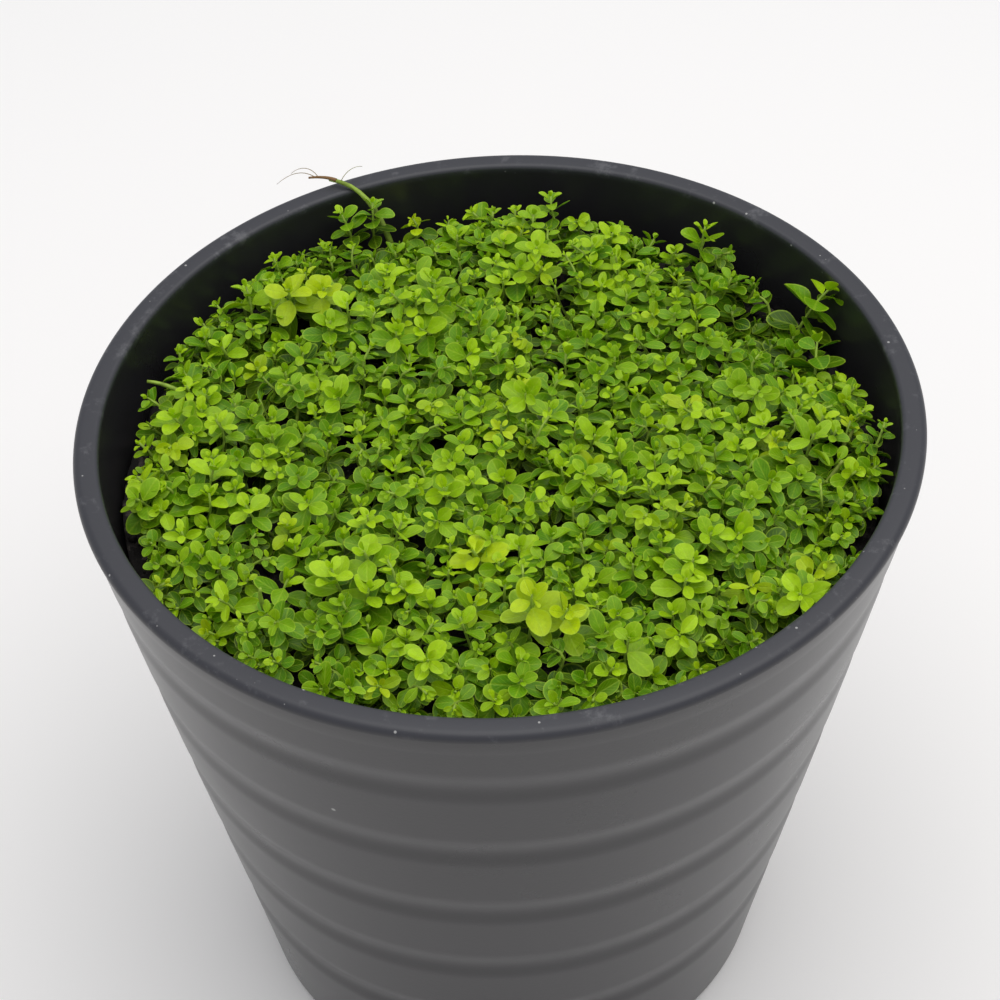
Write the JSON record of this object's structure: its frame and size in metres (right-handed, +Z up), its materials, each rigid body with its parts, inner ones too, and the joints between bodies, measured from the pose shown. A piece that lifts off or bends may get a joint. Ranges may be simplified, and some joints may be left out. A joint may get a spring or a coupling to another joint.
{
  "type": "potted pearl grass plant",
  "caption": "Low mat of small-leaved pearl grass growing in soil in a tapered dark plastic pot with shallow grooves round it.",
  "frame": {"origin": "middle of the face that the pot stands on", "axes": "+Z up; +X to the right of the front view, close to the direction in which the pot is slightly wider; -Y towards the viewer"},
  "size_m": [0.0904, 0.0896, 0.0865],
  "materials": {
    "pot_plastic": "satin dark grey moulded plastic",
    "potting_soil": "moist, crumbly, nearly black",
    "leaf": "satin fresh green leaves with paler edges, pale green stems"
  },
  "bodies": {
    "root": {"pot": "pot_plastic", "soil": "potting_soil", "plantlet_01": "leaf", "plantlet_02": "leaf", "plantlet_03": "leaf", "plantlet_04": "leaf", "plantlet_05": "leaf", "plantlet_06": "leaf", "plantlet_07": "leaf", "plantlet_08": "leaf", "plantlet_09": "leaf", "plantlet_10": "leaf", "plantlet_11": "leaf", "plantlet_12": "leaf", "plantlet_13": "leaf", "plantlet_14": "leaf", "plantlet_15": "leaf", "plantlet_16": "leaf", "plantlet_17": "leaf", "plantlet_18": "leaf", "plantlet_19": "leaf", "plantlet_20": "leaf", "plantlet_21": "leaf", "plantlet_22": "leaf", "plantlet_23": "leaf", "plantlet_24": "leaf", "plantlet_25": "leaf", "plantlet_26": "leaf", "plantlet_27": "leaf", "plantlet_28": "leaf", "plantlet_29": "leaf", "plantlet_30": "leaf", "plantlet_31": "leaf", "plantlet_32": "leaf", "plantlet_33": "leaf", "plantlet_34": "leaf", "plantlet_35": "leaf", "plantlet_36": "leaf", "plantlet_37": "leaf"}
  },
  "joints": []
}
